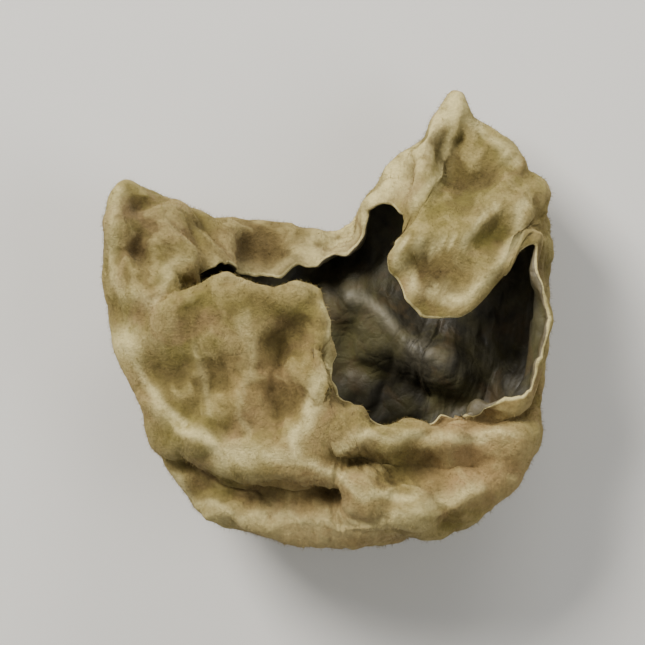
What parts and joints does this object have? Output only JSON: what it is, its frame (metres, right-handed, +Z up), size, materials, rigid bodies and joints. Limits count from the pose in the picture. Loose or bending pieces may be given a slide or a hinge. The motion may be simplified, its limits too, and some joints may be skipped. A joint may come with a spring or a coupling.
{
  "type": "dried wood ear mushroom",
  "caption": "A dried wood ear: a thin fungus ear curled into a crumpled pouch, felted tan outside and smooth near-black inside, lying on the flat cut where it grew.",
  "frame": {"origin": "middle of the flat cut where the ear was taken off its log, on the surface it lies on", "axes": "+Z up from the surface, +Y towards the open mouth of the pouch, +X to the right seen from above"},
  "size_m": [0.0213, 0.0218, 0.0094],
  "materials": {
    "ear_skin": "felted matt tan skin outside, smooth satin near-black skin inside"
  },
  "bodies": {
    "root": {"ear": "ear_skin"}
  },
  "joints": []
}
